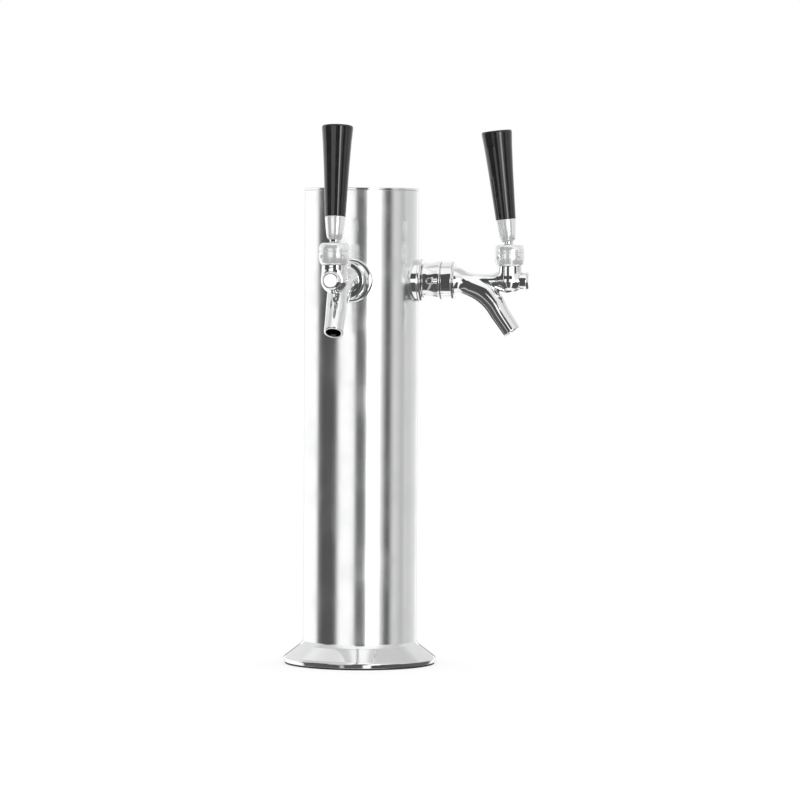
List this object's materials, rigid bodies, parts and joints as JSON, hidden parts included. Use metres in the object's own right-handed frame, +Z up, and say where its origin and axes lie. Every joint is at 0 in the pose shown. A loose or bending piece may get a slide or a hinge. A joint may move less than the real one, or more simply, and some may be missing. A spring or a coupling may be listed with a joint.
{
  "type": "beer tap tower",
  "caption": "Polished column tower with a bell foot and plated draught taps set a quarter turn apart, with tapered black handles that pull forward to pour.",
  "frame": {"origin": "on the column's axis, in the plane of the counter", "axes": "+Z up along the column, -Y towards the customer, the taps point 45 degrees to each side of -Y"},
  "size_m": [0.2222, 0.1796, 0.4763],
  "materials": {
    "column": "mirror-polished stainless steel with faint drawn lines",
    "foot": "mirror-polished stainless steel, spun",
    "cap": "polished stainless steel",
    "faucet": "bright chrome plate on a cast body",
    "fittings": "bright chrome plate, turned",
    "lever": "bright chrome plate",
    "ferrule": "bright chrome plate, turned",
    "grip": "glossy black moulded plastic",
    "shank_plating": "plain chrome plate, threaded",
    "inner_steel": "machined stainless steel",
    "seals": "matt black rubber",
    "white_plastic": "natural white nylon",
    "foam": "dark grey closed-cell foam"
  },
  "bodies": {
    "tower": {"column_tube": "column", "base_flange": "foot", "base_mount_ring": "inner_steel", "base_gasket": "seals", "insulation_sleeve": "foam", "left_shank": "shank_plating", "left_shank_collar": "fittings", "left_shank_saddle_washer": "inner_steel", "left_shank_locknut": "shank_plating", "left_tailpiece": "inner_steel", "left_tailpiece_washer": "seals", "left_tailpiece_nut": "shank_plating", "left_coupling_nut": "fittings", "left_coupling_gasket": "seals", "left_faucet_body": "faucet", "left_ball_seat": "white_plastic", "left_friction_ring": "white_plastic", "left_bonnet": "fittings", "right_shank": "shank_plating", "right_shank_collar": "fittings", "right_shank_saddle_washer": "inner_steel", "right_shank_locknut": "shank_plating", "right_tailpiece": "inner_steel", "right_tailpiece_washer": "seals", "right_tailpiece_nut": "shank_plating", "right_coupling_nut": "fittings", "right_coupling_gasket": "seals", "right_faucet_body": "faucet", "right_ball_seat": "white_plastic", "right_friction_ring": "white_plastic", "right_bonnet": "fittings"},
    "cap": {"top_cap": "cap", "cap_seal_ring": "seals"},
    "left_handle": {"left_lever": "lever", "left_handle_ferrule": "ferrule", "left_handle_grip": "grip"},
    "right_handle": {"right_lever": "lever", "right_handle_ferrule": "ferrule", "right_handle_grip": "grip"},
    "left_valve": {"left_valve_shaft": "inner_steel", "left_seat_washer": "seals", "left_seat_nut": "inner_steel"},
    "right_valve": {"right_valve_shaft": "inner_steel", "right_seat_washer": "seals", "right_seat_nut": "inner_steel"}
  },
  "joints": [
    {"name": "left_lever_hinge", "type": "hinge", "parent": "tower", "child": "left_handle", "pos_m": [-0.09419, -0.09419, 0.364], "axis": [0.7071, -0.7071, 0], "range_deg": [0, 28]},
    {"name": "right_lever_hinge", "type": "hinge", "parent": "tower", "child": "right_handle", "pos_m": [0.09419, -0.09419, 0.364], "axis": [0.7071, 0.7071, 0], "range_deg": [0, 28]},
    {"name": "left_valve_slide", "type": "slide", "parent": "tower", "child": "left_valve", "axis": [0.7071, 0.7071, 0], "range_m": [0, 0.0095]},
    {"name": "right_valve_slide", "type": "slide", "parent": "tower", "child": "right_valve", "axis": [-0.7071, 0.7071, 0], "range_m": [0, 0.0095]},
    {"name": "cap_lift", "type": "slide", "parent": "tower", "child": "cap", "axis": [0, 0, 1], "range_m": [0, 0.025]}
  ],
  "couplings": [
    {"joint": "left_valve_slide", "follows": "left_lever_hinge", "m_per_rad": 0.01914},
    {"joint": "right_valve_slide", "follows": "right_lever_hinge", "m_per_rad": 0.01914}
  ]
}
